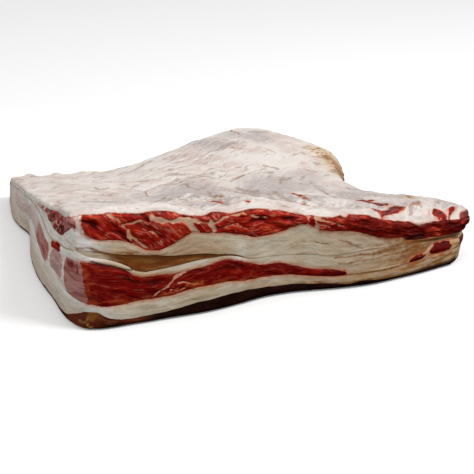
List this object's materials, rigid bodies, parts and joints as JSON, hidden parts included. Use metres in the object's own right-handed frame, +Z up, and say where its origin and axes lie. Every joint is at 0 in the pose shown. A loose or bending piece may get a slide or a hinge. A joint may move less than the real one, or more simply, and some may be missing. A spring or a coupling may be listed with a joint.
{
  "type": "beef short plate",
  "caption": "Boneless beef short plate: a thick slab of fat and lean strata with a white fat cap, cut square along the front and one side, tapering to the back",
  "frame": {"origin": "middle of the slab's bounding box, on the surface it lies on", "axes": "+Z up through the slab's thickness; +X along the long cut face towards the thin corner; the long cut face looks along -Y and the short one along -X"},
  "size_m": [0.4698, 0.4176, 0.122],
  "materials": {
    "flank_muscle": "dark brown-red dried muscle and membrane on the slab's outer side",
    "outer_fat": "moist cream beef fat, smooth cut",
    "lower_lean": "moist dark red lean, cut across the grain, with fat flecks",
    "inner_fat": "moist cream beef fat, smooth cut",
    "seam_tissue": "tan connective tissue, slightly dried",
    "middle_fat": "moist cream beef fat, smooth cut",
    "upper_lean": "moist red lean in coarse bundles, marbled with fat",
    "fat_cap": "whitish pink fat under a creased membrane"
  },
  "bodies": {
    "root": {"flank_muscle": "flank_muscle", "outer_fat": "outer_fat", "lower_lean": "lower_lean", "inner_fat": "inner_fat", "seam_tissue": "seam_tissue", "middle_fat": "middle_fat", "upper_lean": "upper_lean", "fat_cap": "fat_cap"}
  },
  "joints": []
}
